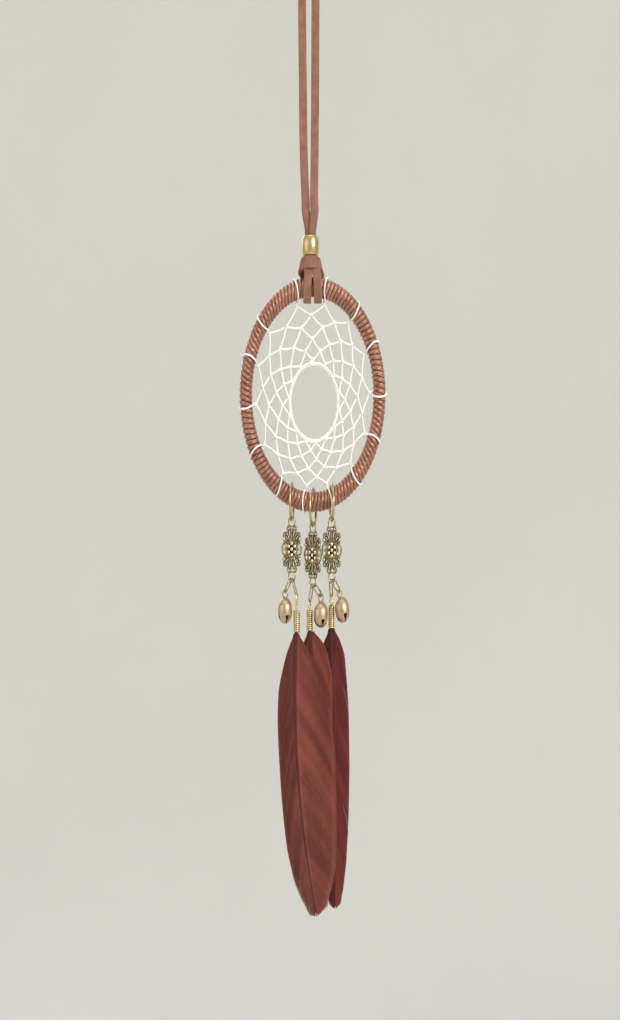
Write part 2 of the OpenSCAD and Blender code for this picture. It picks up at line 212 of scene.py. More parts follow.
class Shape:
    """Gathers closed shells into one mesh. Every face corner has a (u, v) in millimetres of surface."""

    def __init__(self):
        self.points = []
        self.quads = []
        self.uvs = []
        self.caps = []
        self.values = {}
        self.count = 0

    def add(self, points, quads, uvs, caps=(), **values):
        self.points.append(points)
        self.quads.append(np.asarray(quads) + self.count)
        self.uvs.append(uvs)
        self.caps += [[i + self.count for i in cap] for cap in caps]
        for name, value in values.items():
            self.values.setdefault(name, []).append(np.broadcast_to(value, len(points)))
        self.count += len(points)

    def sweep(self, path, side, up, section, closed=False, **values):
        """Sweeps a section, or one section for each point, along the path."""
        section = np.broadcast_to(section, (len(path), *np.shape(section)[-2:]))
        side, up = np.broadcast_arrays(side, up, path)[:2]
        rings = path[:, None] + section[..., :1] * side[:, None] + section[..., 1:] * up[:, None]
        count, corners = rings.shape[:2]
        quads = faces_between(count, corners, closed)
        steps = np.linalg.norm(np.diff(np.vstack([path, path[:1]]), axis=0), axis=1) / MM
        along = np.concatenate([[0], np.cumsum(steps)])[: len(quads) // corners + 1, None]
        edges = np.linalg.norm(np.roll(section[0], -1, 0) - section[0], axis=1) / MM
        around = np.concatenate([[0], np.cumsum(edges)])
        u, u_after, v, v_beside = np.broadcast_arrays(along[:-1], along[1:], around[:-1], around[1:])
        uvs = np.stack([u, v, u, v_beside, u_after, v_beside, u_after, v], -1).reshape(-1, 4, 2)
        caps = [] if closed else [
            list(range(corners))[::-1],
            [(count - 1) * corners + k for k in range(corners)],
        ]
        for name, value in values.items():
            values[name] = np.repeat(value, corners) if np.ndim(value) else value
        self.add(rings.reshape(-1, 3), quads, uvs, caps, **values)

    def wire(self, path, radius, hint=FRONT, closed=False, count=10):
        """A round wire along a path, from one radius or a radius for each point."""
        side, up = upright(path, hint, closed) if closed else untwisted(path, hint)
        section = np.multiply.outer(np.broadcast_to(radius, len(path)), round_section(1, count))
        self.sweep(path, side, up, section, closed)

    def ball(self, centre, radius, axis, stretch, count=12):
        """A ball, stretched or flattened along its axis."""
        turn = np.linspace(0.02, math.pi - 0.02, count)
        path = centre - radius * stretch * np.cos(turn)[:, None] * axis
        self.wire(path, radius * np.sin(turn), (1, 0, 0) if abs(axis[0]) < 0.8 else UP, count=count)

    def turned(self, profile, centre, count=72):
        """A ring with a closed (radius, height) profile, turned about the vertical."""
        turn = full_turn(count)
        outward = np.column_stack([np.cos(turn), np.sin(turn), 0 * turn])
        middle = np.mean([r for r, _ in profile])
        section = np.array([(r - middle, z) for r, z in profile])
        self.sweep(centre + middle * outward, outward, UP, section[::-1], closed=True)

    def mesh(self, name):
        made = bpy.data.meshes.new(name)
        quads = np.concatenate(self.quads).tolist()
        made.from_pydata(np.concatenate(self.points).tolist(), [], quads + self.caps)
        return made

    def build(self, name, look, body, slot, *nodes):
        """The finished piece, riding on its body and standing for those CAD nodes."""
        mesh = self.mesh(name)
        uvs = np.concatenate(self.uvs).reshape(-1, 2)
        corners = np.zeros((len(mesh.loops), 2))
        corners[: len(uvs)] = uvs
        mesh.uv_layers.new(name="UVMap").data.foreach_set("uv", corners.ravel())
        for value_name, values in self.values.items():
            attribute = mesh.attributes.new(value_name, "FLOAT", "POINT")
            attribute.data.foreach_set("value", np.concatenate(values).astype(np.float32))
        return finish_piece(mesh, name, look, body, slot, *nodes)


def finish_piece(mesh, name, look, body, slot, *nodes):
    mesh.shade_smooth()
    mesh.set_sharp_from_angle(angle=math.radians(50))
    mesh.materials.append(look)
    piece = add_object(name, mesh)
    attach(piece, body)
    if nodes:
        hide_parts(*nodes)
    return piece


def box_of(node):
    low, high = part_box(node)
    return np.array(low), np.array(high)


def middle_of(node):
    return np.mean(box_of(node), axis=0)


def axes_of(node):
    """(middle, long axis, wide axis, thin axis, their three lengths) of a flat CAD node.

    The long axis points up, and the thin one, which is out of its flat side, to the front."""
    points = np.array([v.co for v in frame["nodes"][node].data.vertices], float)
    points = np.unique(points.round(7), axis=0)
    mean = points.mean(0)
    thin, wide, long = np.linalg.svd(points - mean, full_matrices=False)[2][::-1]
    thin = thin * np.sign(thin @ FRONT or 1)
    long = UP - (UP @ thin) * thin if abs(long @ UP) < 0.9 else long * np.sign(long @ UP)
    long = unit(long)
    wide = np.cross(long, thin)
    axes = np.array([long, wide, thin])
    reach = (points - mean) @ axes.T
    middle = mean + (reach.max(0) + reach.min(0)) / 2 @ axes
    return middle, long, wide, thin, reach.max(0) - reach.min(0)


# ---- materials


class Look:
    """A material's nodes. Textures read the object's own metres, or a piece's surface millimetres."""

    def __init__(self, name, roughness, metallic=0.0, **settings):
        self.material = bpy.data.materials.new(name)
        self.material.use_nodes = True
        self.tree = self.material.node_tree
        self.shader = self.tree.nodes["Principled BSDF"]
        self.put(self.shader, {"Roughness": roughness, "Metallic": metallic, **settings})
        self.coordinates = self.node("ShaderNodeTexCoord")

    def put(self, node, inputs):
        for name, value in inputs.items():
            if isinstance(value, bpy.types.NodeSocket):
                self.tree.links.new(value, node.inputs[name])
            else:
                node.inputs[name].default_value = value

    def node(self, kind, inputs=None, **settings):
        made = self.tree.nodes.new(kind)
        for name, value in settings.items():
            setattr(made, name, value)
        self.put(made, inputs or {})
        return made

    def value(self, name):
        """A value that the mesh holds for each of its points."""
        return self.node("ShaderNodeAttribute", attribute_name=name).outputs["Fac"]

    def texture(self, kind, space, mapping, **inputs):
        """A texture's value, in coordinates that are scaled or turned by the mapping."""
        mapped = self.node("ShaderNodeMapping", {"Vector": self.coordinates.outputs[space], **mapping})
        return self.node(kind, {"Vector": mapped.outputs["Vector"], **inputs}).outputs["Fac"]

    def noise(self, size, detail, stretch=(1, 1, 1), space="Object"):
        """Noise with features of that size, in metres, or in millimetres in UV space."""
        made = {"Scale": 1 / size, "Detail": detail, "Roughness": 0.6}
        return self.texture("ShaderNodeTexNoise", space, {"Scale": stretch}, **made)

    def stripes(self, pitch, turn, distortion):
        """Stripes across the surface at that pitch in millimetres, turned from the piece's length."""
        made = {"Scale": 2 * math.pi / 20 / pitch, "Distortion": distortion, "Detail": 1.0}
        return self.texture("ShaderNodeTexWave", "UV", {"Rotation": (0, 0, turn)}, **made)

    def ramp(self, factor, *stops):
        """A colour for each value of the factor, from (value, colour) stops."""
        made = self.node("ShaderNodeValToRGB", {"Fac": factor})
        elements = made.color_ramp.elements
        while len(elements) < len(stops):
            elements.new(0.5)
        for element, (at, colour) in zip(elements, stops):
            element.position = at
            element.color = (*colour, 1) if np.ndim(colour) else (colour, colour, colour, 1)
        return made.outputs["Color"]

    def mix(self, factor, first, second, blend="MIX"):
        made = self.node("ShaderNodeMix", data_type="RGBA", blend_type=blend)
        first, second = ((*value, 1) if isinstance(value, tuple) else value for value in (first, second))
        self.put(made, {0: factor, 6: first, 7: second})
        return made.outputs[2]

    def times(self, first, second):
        return self.mix(1.0, first, second, "MULTIPLY")

    def math(self, operation, *values):
        return self.node("ShaderNodeMath", dict(enumerate(values)), operation=operation).outputs["Value"]

    def bump(self, height, distance, strength=1.0):
        made = self.node("ShaderNodeBump", {"Height": height, "Distance": distance, "Strength": strength})
        if self.shader.inputs["Normal"].is_linked:
            self.put(made, {"Normal": self.shader.inputs["Normal"].links[0].from_socket})
        self.put(self.shader, {"Normal": made.outputs["Normal"]})

    def colour(self, socket):
        self.put(self.shader, {"Base Color": socket})

    def roughness(self, factor, low, high):
        spread = self.node("ShaderNodeMapRange", {"Value": factor, "To Min": low, "To Max": high})
        self.put(self.shader, {"Roughness": spread.outputs["Result"]})


def suede_look():
    look = Look("suede", 0.95, **{"Sheen Weight": 0.25, "Sheen Roughness": 0.5, "Specular IOR Level": 0.2})
    look.put(look.shader, {"Sheen Tint": (0.9, 0.6, 0.5, 1)})
    patches = look.noise(2.2 * MM, 4)
    nap = look.noise(0.16 * MM, 5)
    base = look.ramp(patches, (0.3, (0.245, 0.112, 0.075)), (0.7, (0.345, 0.172, 0.119)))
    fibres = look.ramp(nap, (0.35, 0.72), (0.62, 1.0))
    look.colour(look.times(base, fibres))
    look.bump(nap, 0.10 * MM, 0.7)
    look.bump(look.noise(0.9 * MM, 3), 0.12 * MM, 0.5)
    return look.material


def wrap_look():
    look = Look("satin_cord", 0.34, 0.55, **{"Specular IOR Level": 0.7})
    look.put(look.shader, {"Coat Weight": 0.5, "Coat Roughness": 0.22, "Coat Tint": (1, 0.86, 0.76, 1)})
    patches = look.noise(3.5 * MM, 3)
    fibres = look.stripes(0.16, math.radians(62), 1.5)
    streaks_and_painted_sheen = look.noise(0.35, 3, (0.25, 1, 1), "UV")
    base = look.ramp(patches, (0.3, (0.265, 0.103, 0.064)), (0.7, (0.5, 0.235, 0.155)))
    tone = look.times(base, look.ramp(fibres, (0.1, 0.5), (0.75, 1.0)))
    # Painted sheen: along the streaks, which are really glossier and raised, the colour is also mixed
    # towards a light copper
    look.colour(look.mix(look.ramp(streaks_and_painted_sheen, (0.45, 0.0), (0.75, 0.6)), tone, (0.75, 0.42, 0.3)))
    look.roughness(streaks_and_painted_sheen, 0.2, 0.38)
    look.bump(fibres, 0.035 * MM, 0.8)
    look.bump(streaks_and_painted_sheen, 0.05 * MM, 0.5)
    return look.material


def thread_look():
    look = Look("web_thread", 0.55, **{"Specular IOR Level": 0.4, "Sheen Weight": 0.2})
    twist = look.stripes(0.22, math.radians(55), 0.6)
    base = look.ramp(look.noise(1.6 * MM, 3), (0.3, (0.9, 0.89, 0.85)), (0.65, (0.97, 0.965, 0.94)))
    look.colour(look.times(base, look.ramp(twist, (0.05, 0.86), (0.6, 1.0))))
    look.bump(twist, 0.04 * MM, 0.8)
    return look.material


def metal_look(name, bright, dark, roughness, wear=0.5, grain=0.25 * MM, painted_groove_shade=False):
    """Metal with darker, duller patches, fine scratches and soft dents, and painted shade in the grooves
    between any ridges.
    """
    look = Look(name, roughness, 1.0)
    patches = look.noise(1.4 * MM, 5)
    fine = look.noise(grain, 4)
    worn = look.mix(0.35, *(look.ramp(noise, (0.0, 0.0), (1.0, 1.0)) for noise in (patches, fine)))
    colour = look.ramp(worn, (wear - 0.16, dark), (wear + 0.1, bright))
    # Painted shade: the colour darkens where a wire's section nears the next turn, in the grooves between a
    # coil's turns
    if painted_groove_shade:
        colour = look.times(colour, look.ramp(look.value("groove_shading"), (0.1, 0.25), (0.7, 1.0)))
    look.colour(colour)
    look.roughness(fine, roughness * 0.75, roughness * 1.45)
    look.bump(fine, 0.012 * MM, 0.6)
    look.bump(patches, 0.05 * MM, 0.35)
    return look.material


def antique_look():
    """Antique bronze: dark in the hollows, rubbed bright on what stands out."""
    look = Look("antique_bronze", 0.35, 1.0)
    relief = look.value("relief")
    grime = look.noise(0.35 * MM, 4)
    level = look.math("ADD", relief, look.math("MULTIPLY", look.math("SUBTRACT", grime, 0.5), 0.55))
    hollow, flat, rubbed = (0.04, 0.03, 0.014), (0.2, 0.155, 0.075), (0.8, 0.71, 0.46)
    look.colour(look.ramp(level, (0.2, hollow), (0.55, flat), (0.9, rubbed)))
    look.roughness(level, 0.5, 0.2)
    look.bump(grime, 0.03 * MM, 0.5)
    return look.material


def feather_look(name, near, far, edge):
    """Dyed barbs: one colour on the left vane and one on the right vane, the right one lighter as painted
    light from the right and the left one darker as painted shade; lighter at the very edge and near the
    shaft.
    """
    look = Look(name, 0.66, **{"Specular IOR Level": 0.22, "Sheen Weight": 0.15, "Sheen Roughness": 0.4})
    look.put(look.shader, {"Sheen Tint": (0.95, 0.5, 0.4, 1)})
    # Painted light and shade: the left vane takes the darker first colour and the right vane the lighter
    # second one, as the light falls from the right
    base = look.mix(look.value("vane"), near, far)
    for shade in (
        look.ramp(look.value("tone"), (0.0, 0.7), (1.0, 1.18)),
        look.ramp(look.noise(7 * MM, 3, (1, 1, 0.35)), (0.3, 0.78), (0.7, 1.12)),
        look.ramp(look.noise(0.45 * MM, 4, (1, 1, 0.4)), (0.3, 0.86), (0.7, 1.06)),
    ):
        base = look.times(base, shade)
    rim = look.ramp(look.value("across"), (0.0, 0.35), (0.12, 0.0), (0.8, 0.0), (1.0, 0.55))
    look.colour(look.mix(rim, base, edge))
    look.bump(look.noise(0.3 * MM, 4, (1, 1, 0.5)), 0.03 * MM, 0.5)
    return look.material


def quill_look(name, colour, groove):
    look = Look(name, 0.5, **{"Specular IOR Level": 0.25})
    patches = look.noise(1.2 * MM, 4, (1, 1, 0.15))
    look.colour(look.ramp(patches, (0.3, groove), (0.7, colour)))
    look.bump(patches, 0.03 * MM, 0.4)
    return look.material


SUEDE = suede_look()
WRAP = wrap_look()
THREAD = thread_look()
BEAD = metal_look("bead_brass", (0.6, 0.47, 0.22), (0.34, 0.25, 0.1), 0.27, 0.42)
RING = metal_look("ring_brass", (0.58, 0.42, 0.22), (0.3, 0.19, 0.085), 0.26, 0.45)
SMALL_RING = metal_look("link_brass", (0.5, 0.4, 0.22), (0.2, 0.145, 0.065), 0.28, 0.48)
BELL = metal_look("bell_brass", (0.56, 0.42, 0.27), (0.36, 0.245, 0.145), 0.38, 0.42, 0.12 * MM)
# The coil's colour gets painted shade in the grooves between its turns
COIL = metal_look("coil_brass", (0.78, 0.63, 0.33), (0.48, 0.35, 0.15), 0.26, 0.42, painted_groove_shade=True)
ANTIQUE = antique_look()
STEEL = metal_look("drawn_steel", (0.6, 0.6, 0.6), (0.4, 0.39, 0.38), 0.3)
IRON = metal_look("iron_pellet", (0.3, 0.29, 0.28), (0.12, 0.1, 0.09), 0.5)


# ---- the lace and its bead

# The lace's route, in metres, which the CAD model has too. Each row is a height, the middle of the two
# strands, their turn in degrees, and how far apart they are along their width and across their thickness.
LACE_ROUTE = (
    (0.0016, -0.0002, 0, 0.0034, 0),
    (0, -0.0002, 0, 0.0046, 0),
    (-0.004, -0.0002, 0, 0.005, 0),
    (-0.012, -0.0002, 0, 0.0049, 0),
    (-0.02, -0.00015, 0, 0.0047, 0),
    (-0.028, -0.0001, 0, 0.0045, 0),
    (-0.037, -0.0001, 0, 0.0042, 0),
    (-0.044, 0, 0, 0.0038, 0),
    (-0.048, 0.0001, 2, 0.0034, 0.0002),
    (-0.051, 0.0002, 5, 0.00315, 0.0009),
    (-0.053, 0.0003, 12, 0.0031, 0.0014),
    (-0.055, 0.00035, 22, 0.0022, 0.00142),
    (-0.057, 0.0004, 34, 0.001, 0.00142),
    (-0.059, 0.0004, 42, 0.0003, 0.00142),
    (-0.062, 0.00045, 45, 0, 0.00142),
    (-0.0643, 0.0005, 45, 0, 0.00142),
)
LACE_W = 3 * MM
LACE_T = 1.35 * MM
LACE_ROUNDING = 0.3 * MM
BEAD_END_R = 2.75 * MM
BEAD_BORE_R = 2.3 * MM
BEAD_LIP = 0.12 * MM


def rough_suede(shape, amount=0.05 * MM):
    """Moves the last swept shell's points a little, as cut suede is never quite even."""
    points = shape.points[-1]
    waves = np.sin(points @ RANDOM.normal(0, 2600, (3, 8)) + RANDOM.uniform(0, 6.28, 8)).mean(1)
    fine = RANDOM.normal(0, 0.35, len(points))
    points += amount * (1.6 * waves + 0.5 * fine)[:, None] * unit(points - points.mean(0) * [1, 1, 0])


def lace_strand(side, name):
    """One of the two standing strands, from the hitch up to the knot."""
    rows = smooth_path(LACE_ROUTE, 9)[::-1]
    turn = np.radians(rows[:, 2])
    along = np.column_stack([np.cos(turn), np.sin(turn), 0 * turn])
    across = np.cross(along, UP)
    path = np.column_stack([rows[:, 1], 0 * turn, rows[:, 0]])
    path = path + side / 2 * (rows[:, 3:4] * along + rows[:, 4:5] * across)
    shape = Shape()
    shape.sweep(path, along, across, flat_section(LACE_W, LACE_T, LACE_ROUNDING, 9)[::-1])
    rough_suede(shape)
    return shape.build(f"{name}_strand", SUEDE, "lace", "lace", name), path


def ribbon(shape, rows, thickness, steps=8):
    """A flat lace through rows of (point, the direction of its width), in millimetres."""
    points = smooth_path([np.array(at) * MM for at, _ in rows], steps)
    widths = unit(smooth_path([np.array(across, float) for _, across in rows], steps))
    ahead = ahead_of(points)
    side = unit(square_to(ahead, widths))
    shape.sweep(points, side, np.cross(ahead, side), flat_section(LACE_W, thickness, LACE_ROUNDING, 9))
    rough_suede(shape, 0.04 * MM)


def lace_knot():
    """An overhand knot in the two strands laid on each other, with two tails."""
    middle = middle_of("lace_knot") / MM
    foot = box_of("lace_knot")[0][2] / MM
    shape = Shape()
    rows = [
        ((0, 0, -1.4), (1, 0, 0)),
        ((-0.2, -0.5, 0.4), (1, 0, 0)),
        ((-0.5, -0.9, 2.2), (1, 0, 0.1)),
        ((-0.1, -0.8, 4.2), (1, 0, -0.5)),
        ((1.5, -0.1, 5.3), (0.5, 0, -1)),
        ((2.9, 1.0, 4.2), (0.2, 0.9, 0.6)),
        ((2.0, 1.9, 2.6), (0, -0.2, 1)),
        ((-0.4, 2.2, 1.9), (0, 0, 1)),
        ((-2.6, 1.1, 2.1), (0, 0, 1)),
        ((-3.0, -0.9, 2.7), (0, 0.2, 1)),
        ((-1.2, -2.5, 3.3), (-0.2, 0, 1)),
        ((1.2, -2.3, 3.6), (-0.3, 0, 1)),
        ((2.0, -0.6, 3.4), (-0.2, 0, 1)),
        ((0.9, 0.9, 3.9), (-0.8, 0.3, 0.6)),
        ((-0.2, 1.0, 5.6), (-1, 0.1, 0.1)),
    ]
    start = np.array([middle[0], middle[1], foot])
    for layer in (-0.62, 0.62):
        tail = [
            ((layer * 1.2, 0.9 + layer, 8.4), (-1, 0.2, 0)),
            ((layer * 4.2, 0.9, 14.2), (-0.9, 0.4, -0.2)),
        ]
        moved = []
        for i, (at, across) in enumerate(rows):
            way = np.subtract(rows[min(i + 1, len(rows) - 1)][0], rows[max(i - 1, 0)][0])
            out = unit(np.cross(way, np.array(across, float)))
            moved.append((start + at + layer * out, across))
        moved += [(start + at, across) for at, across in tail]
        ribbon(shape, moved, 1.2 * MM)
    return shape.build("lace_overhand_knot", SUEDE, "lace", "lace", "lace_knot")


def lace_hitch():
    """The lark's head: one flat lace down inside the collar, round the hoop, and up as the collar."""
    low, high = box_of("hoop_wrap")
    tube = (high[1] - low[1]) / 2 / MM
    hoop_x = (low[0] + high[0]) / 2 / MM
    top = high[2] / MM - tube
    reach = tube + 0.4 + 0.62
    collar_x = 0.55
    half = [
        ((collar_x, -2.95, -65.45), (0, 0.12, 1)),
        ((collar_x + 1.9, -2.5, -65.5), (0, 0.1, 1)),
        ((collar_x + 3.2, -1.1, -65.8), (-0.3, 0, 1)),
        ((collar_x + 3.75, 0.9, -66.6), (-0.35, 0.15, 1)),
        ((hoop_x + 2.95, 2.5, -68.1), (-0.7, 0.2, 0.6)),
        ((hoop_x + 2.3, reach * 0.93, top + 1.2), (-1, 0, 0)),
        ((hoop_x + 2.1, reach * 0.93, top - 1.2), (-1, 0, 0)),
        ((hoop_x + 2.0, reach * 0.5, top - reach * 0.86), (-1, 0, 0)),
        ((hoop_x + 2.0, -reach * 0.5, top - reach * 0.86), (-1, 0, 0)),
        ((hoop_x + 1.95, -reach * 0.95, top - 1), (-1, 0.15, 0)),
        ((hoop_x + 1.85, -reach * 0.95, top + 1), (-1, 0.2, 0)),
        ((hoop_x + 1.6, -2.7, top + 2.9), (-1, 0.15, 0)),
        ((collar_x + 1.35, -1.75, -66.2), (-1, 0, 0.1)),
        ((collar_x + 0.9, -1.0, -64.7), (-0.8, 0.5, 0.1)),
        ((collar_x + 0.35, -0.5, -63.4), (-0.7, 0.7, 0)),
    ]
    left = []
    for (x, y, z), (wx, wy, wz) in half[:0:-1]:
        about = collar_x if z > top + 3.6 else hoop_x
        left.append(((2 * about - x, y, z), (-wx, wy, wz)))
    shape = Shape()
    ribbon(shape, left + half, 1.25 * MM)
    return shape.build("lace_larks_head", SUEDE, "hitch", "lace", "lace_hitch")


def bead():
    """The barrel bead: a thin turned brass shell with rolled ends."""
    low, high = box_of("lace_bead")
    centre = (low + high) / 2
    radius, half = (high[0] - low[0]) / 2, (high[2] - low[2]) / 2
    end, bore, lip = BEAD_END_R, BEAD_BORE_R, BEAD_LIP
    outer = [
        (end + (radius - end) * (1 - t * t) ** 0.9, t * (half - lip)) for t in np.linspace(-1, 1, 21)
    ]
    rim = [(end - lip, half), (bore + lip, half), (bore, half - lip)]
    inner = [(bore, z * (half - lip)) for z in (0.6, 0.2, -0.2, -0.6)]
    foot = [(bore, lip - half), (bore + lip, -half), (end - lip, -half)]
    shape = Shape()
    shape.turned(outer + rim + inner + foot, centre)
    return shape.build("lace_barrel_bead", BEAD, "bead", "bead", "lace_bead")


def lace():
    knot = lace_knot()
    hitch = lace_hitch()
    barrel = bead()
    for side, name in ((-1, "lace_left"), (1, "lace_right")):
        strand, path = lace_strand(side, name)
        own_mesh(strand)


lace()


# ---- the hoop

# How often the cords cross the front of the hoop, and how many of them lie side by side
WRAP_CROSSINGS = 120
WRAP_STARTS = 3
WRAP_CORD_T = 1.05 * MM
low, high = box_of("hoop_wrap")
HOOP = (low + high) / 2
TUBE = (high[1] - low[1]) / 2
HOOP_R = (high[0] - low[0]) / 2 - TUBE


def on_tube(angle, around, radius):
    """A point round the hoop's tube: angle runs anticlockwise from the right as seen from the front, and
    around runs from the outside of the hoop over its front."""
    ring = HOOP_R + radius * np.cos(around)
    return HOOP + np.stack([ring * np.cos(angle), -radius * np.sin(around), ring * np.sin(angle)], -1)


def hoop_wrap():
    """The cord wound round the hoop, in several starts that lie side by side."""
    turns = WRAP_CROSSINGS // WRAP_STARTS
    t = full_turn(turns * 26)
    lay_r = TUBE - WRAP_CORD_T / 2
    step = 2 * math.pi / WRAP_CROSSINGS
    slant = math.atan(WRAP_STARTS * HOOP_R * step / (2 * math.pi * lay_r))
    shape = Shape()
    for start in range(WRAP_STARTS):
        angle = t + start * step
        around = turns * t
        path = on_tube(angle, around, lay_r * (1 + 0.006 * np.sin(9 * t + start)))
        outward = unit(on_tube(angle, around, TUBE) - on_tube(angle, around, 0))
        side, up = upright(path, outward, closed=True)
        half = (HOOP_R + lay_r * np.cos(around)) * step / 2 * math.cos(slant) * 1.03
        section = round_section(1, 12)[None] * np.stack([half, 0 * half + WRAP_CORD_T / 2], -1)[:, None]
        shape.sweep(path, side, up, section, closed=True)
    return shape.build("hoop_wrapping_cord", WRAP, "hoop", "wrap", "hoop_wrap")


hoop_wrap()


# ---- the web

# Where the thread is tied round the hoop, in degrees, the radius of each row of knots, and the radius of
# the open hole and how far its middle lies from the hoop's, all in millimetres and as in the CAD model
WEB_ANGLES = (105.5, 78, 51.5, 26, 1, -24.5, -48.5, -75.5, -96, -121, -147, -174, -198.5, -222)
WEB_ROWS = (21.5, 19, 16.8, 14.1, 11.8, 9.75)
WEB_HOLE_R = 8.6
WEB_HOLE_SHIFT = np.array([0.6, 0, -1.8])
THREAD_R = 0.28 * MM
# Half of the gap between the two ends of a tie where they leave the hoop, and where they meet the web
TIE_GAP = 0.34 * MM
TIE_MEET = 0.1 * MM


def web_point(row, i):
    """A knot of the web, from the front: even rows at the ties' own angles, odd rows between them."""
    count = len(WEB_ANGLES)
    here = WEB_ANGLES[i % count] - 360 * (i // count)
    after = WEB_ANGLES[(i + 1) % count] - 360 * ((i + 1) // count)
    angle = math.radians(here if row % 2 == 0 else (here + after) / 2)
    inward = (WEB_ROWS[0] - WEB_ROWS[row]) / (WEB_ROWS[0] - WEB_HOLE_R)
    return HOOP + MM * (WEB_ROWS[row] * spoke(angle) + inward * WEB_HOLE_SHIFT)


def thread_between(shape, start, end, depth, bow=0.035):
    """A stretch of thread between two knots, over the one and under the other, bowed very slightly."""
    t = np.linspace(0, 1, 9)[:, None]
    along = end - start
    inward = unit(HOOP - (start + end) / 2)
    path = start + along * t + bow * np.linalg.norm(along) * np.sin(math.pi * t) * inward
    path = path + depth * np.cos(math.pi * t) * FRONT
    shape.wire(path, THREAD_R * (1 + 0.05 * np.cos(2 * math.pi * t[:, 0])), count=8)


def knot_loop(shape, at, along, reach=0.36 * MM):
    """A half hitch: the thread's turn and a quarter round another thread."""
    along = unit(along)
    out = np.cross(along, FRONT)
    turn = np.linspace(0, 2.6 * math.pi, 22)[:, None]
    path = at + reach * (np.cos(turn) * FRONT + np.sin(turn) * out) + (turn / 8 - 0.5) * 0.62 * MM * along
    shape.wire(path, THREAD_R * 0.92, along, count=8)


def web():
    """The net: each row's thread hangs on the row outside it by half hitches."""
    shape = Shape()
    for i, degrees in enumerate(WEB_ANGLES):
        angle = math.radians(degrees)
        sideways = spoke(angle + math.pi / 2)
        stem = HOOP + (HOOP_R - TUBE + 0.1 * MM) * spoke(angle)
        for lay in (-1, 1):
            end = web_point(0, i) + lay * TIE_MEET * sideways
            thread_between(shape, stem + lay * TIE_GAP * sideways, end, lay * TIE_MEET, 0)
        for row in range(len(WEB_ROWS) - 1):
            here = web_point(row + 1, i + row % 2)
            for side in (0, 1):
                depth = THREAD_R * (0.6 if (i + side) % 2 else -0.6)
                thread_between(shape, web_point(row, i + side), here, depth)
            knot_loop(shape, here, web_point(row, i + 1) - web_point(row, i))
        knot_loop(shape, web_point(0, i), sideways, 0.38 * MM)
    centre_ring(shape)
    return shape.build("web_thread_net", THREAD, "hoop", "thread", "web")


def centre_ring(shape):
    """The thread round the open hole: two rounds, the last row's turns over them, and the closing knot."""
    centre = HOOP + MM * WEB_HOLE_SHIFT
    turn = full_turn(180)
    ring_r = (WEB_HOLE_R + 0.42) * MM
    for lay in (-1, 1):
        wander = 0.06 * MM * np.sin(7 * turn + lay)[:, None]
        path = centre + (ring_r + lay * 0.2 * MM + wander) * spoke(turn) + lay * 0.12 * MM * FRONT
        shape.wire(path, THREAD_R * 0.95, FRONT, closed=True, count=8)
    rounds = 2 * len(WEB_ANGLES)
    turn = full_turn(rounds * 16)
    outward = spoke(turn)
    winding = rounds * turn
    path = centre + (ring_r + 0.36 * MM * np.cos(winding))[:, None] * outward
    path = path + 0.36 * MM * np.sin(winding)[:, None] * FRONT
    side, up = upright(path, outward, closed=True)
    shape.sweep(path, side, up, round_section(THREAD_R * 0.7, 8), closed=True)
    knot = centre + ring_r * unit(np.array([-0.12, 0, 1])) + 0.3 * MM * UP
    for tilt in (-0.5, 0.3, 1.1):
        knot_loop(shape, knot, spoke(tilt), 0.5 * MM)


def web_ties():
    """A turn of thread round the wrapped hoop at each hitch, its two ends side by side."""
    shape = Shape()
    for i, degrees in enumerate(WEB_ANGLES):
        around = np.linspace(math.pi - 0.1, -math.pi + 0.1, 60)
        slant = (0.9 if i % 2 else -0.9) * MM / HOOP_R
        shift = np.where(around > 0, np.sin(around) * slant, 0)
        spread = np.linspace(-TIE_GAP, TIE_GAP, 60) / HOOP_R
        path = on_tube(math.radians(degrees) + shift + spread, around, TUBE + THREAD_R * 0.75)
        shape.wire(path, THREAD_R * 0.95, UP, count=8)
    return shape.build("web_ties", THREAD, "hoop", "thread", "web_hitches")


web()
web_ties()


# ---- rings and links

# The cut in a ring, in radians
OPENING = 0.035
# Each kind of ring's piece, CAD node, wire, material, and where on its oval it is cut, in radians
RINGS = (
    ("brass_jump_ring", "jump_ring", 0.9 * MM, RING, 2.4),
    ("brass_bell_ring", "bell_ring", 0.5 * MM, SMALL_RING, 3.3),
    ("brass_oval_link", "feather_link", 0.5 * MM, SMALL_RING, 2.4),
)


def ring_path(middle, long, wide, reach_long, reach_wide, count=96, cut=True, start=math.pi):
    """An oval loop of wire, cut open at its start when it is a jump ring."""
    gap = OPENING / 2 if cut else 0
    turn = np.linspace(start + gap, start + 2 * math.pi - gap, count, endpoint=cut)[:, None]
    straight = reach_long - reach_wide
    bend = np.sign(np.sin(turn)) * straight
    return middle + (reach_wide * np.sin(turn) + bend) * long + reach_wide * np.cos(turn) * wide


def wire_loop(name, node, wire, look, start):
    """An open ring or link of wire where a CAD node lies. Its body has the node's name."""
    middle, long, wide, thin, size = axes_of(node)
    reach_long, reach_wide = (size[0] - wire) / 2, (size[1] - wire) / 2
    path = ring_path(middle, long, wide, reach_long, min(reach_wide, reach_long), start=start)
    shape = Shape()
    shape.wire(path, wire / 2, thin, count=14)
    return shape.build(name, look, node, "ring", node)


for side in SIDES:
    for name, node, *ring in RINGS:
        wire_loop(f"{name}_{side}", f"{node}_{side}", *ring)


# ---- filigree connectors

# Filigree sizes are in millimetres
EYE_Z = 6.4
EYE_R = 1.2
EYE_WIRE = 0.46
WIRE_T = 0.72
# The teardrop loops of each quarter: their lean in degrees, middle, and half width and height
TEARDROPS = ((13, 0.72, 3.45, 0.98, 1.95), (44, 1.85, 2.55, 0.85, 1.55))


